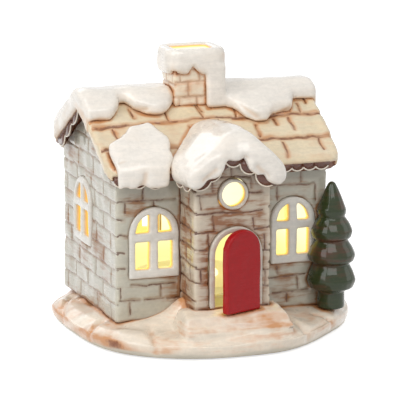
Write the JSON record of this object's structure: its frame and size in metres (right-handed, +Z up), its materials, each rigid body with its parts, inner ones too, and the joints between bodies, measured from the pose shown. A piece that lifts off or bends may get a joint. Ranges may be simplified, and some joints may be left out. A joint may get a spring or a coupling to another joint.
{
  "type": "light-up cottage ornament",
  "caption": "Glazed ceramic winter cottage ornament with snowy tiled roof, arched windows, red door, open chimney and a battery light unit that twists into its base.",
  "frame": {"origin": "middle of the footprint, on the surface the cottage stands on", "axes": "+Z up, the front door faces -Y, +X to the right when the door is looked at"},
  "size_m": [0.157, 0.144, 0.148],
  "materials": {
    "ground_glaze": "gloss",
    "stone_glaze": "gloss",
    "tile_glaze": "gloss",
    "snow_glaze": "gloss",
    "frame_glaze": "gloss",
    "door_glaze": "gloss",
    "fir_glaze": "gloss",
    "white_plastic": "satin",
    "frosted_plastic": "frosted",
    "lamp_resin": "clear warm",
    "board": "satin",
    "bright_steel": "nickel plated",
    "cell_wrap": "film wrap",
    "black_plastic": "satin",
    "red_insulation": "satin",
    "black_insulation": "satin",
    "seal_rubber": "matte",
    "felt": "felt"
  },
  "bodies": {
    "cottage": {"ground_base": "ground_glaze", "foot_pad_front_left": "felt", "foot_pad_front_right": "felt", "foot_pad_back_left": "felt", "foot_pad_back_right": "felt", "house_walls": "stone_glaze", "window_front_left": "frame_glaze", "window_front_right": "frame_glaze", "window_left_side": "frame_glaze", "window_right_side": "frame_glaze", "window_back_left": "frame_glaze", "window_back_right": "frame_glaze", "porch_walls": "stone_glaze", "doorway_arch": "frame_glaze", "round_window_ring": "frame_glaze", "front_door": "door_glaze", "entrance_steps": "ground_glaze", "main_roof": "tile_glaze", "porch_roof": "tile_glaze", "chimney_stack": "tile_glaze", "chimney_snow": "snow_glaze", "ridge_snow_left": "snow_glaze", "ridge_snow_right": "snow_glaze", "eave_snow_front": "snow_glaze", "eave_snow_back": "snow_glaze", "porch_snow": "snow_glaze", "fir_tree": "fir_glaze", "base_lock_ring": "white_plastic"},
    "light_unit": {"light_unit_body": "white_plastic", "light_unit_cover": "white_plastic", "light_unit_gasket": "seal_rubber", "light_diffuser": "frosted_plastic", "led_board": "board", "led_lamp": "lamp_resin", "cover_screw_1": "bright_steel", "cover_screw_2": "bright_steel", "cover_screw_3": "bright_steel", "battery_cell_front": "cell_wrap", "battery_cell_back": "cell_wrap", "contact_bridge": "bright_steel", "contact_positive": "bright_steel", "contact_negative": "bright_steel", "contact_spring_front": "bright_steel", "contact_spring_back": "bright_steel", "switch_body": "black_plastic", "lead_red": "red_insulation", "lead_black": "black_insulation"},
    "battery_hatch": {"battery_hatch": "white_plastic", "hatch_screw": "bright_steel"},
    "switch_slider": {"switch_slider": "black_plastic"}
  },
  "joints": [
    {"name": "light_unit_twist", "type": "hinge", "parent": "cottage", "child": "light_unit", "pos_m": [-0.004, 0.018, 0.01], "axis": [0, 0, 1], "range_deg": [0, 30]},
    {"name": "battery_hatch_hinge", "type": "hinge", "parent": "light_unit", "child": "battery_hatch", "pos_m": [-0.0336, 0.018, 0.004], "axis": [0, 1, 0], "range_deg": [0, 75]},
    {"name": "switch_travel", "type": "slide", "parent": "light_unit", "child": "switch_slider", "axis": [1, 0, 0], "range_m": [0, 0.003]}
  ]
}
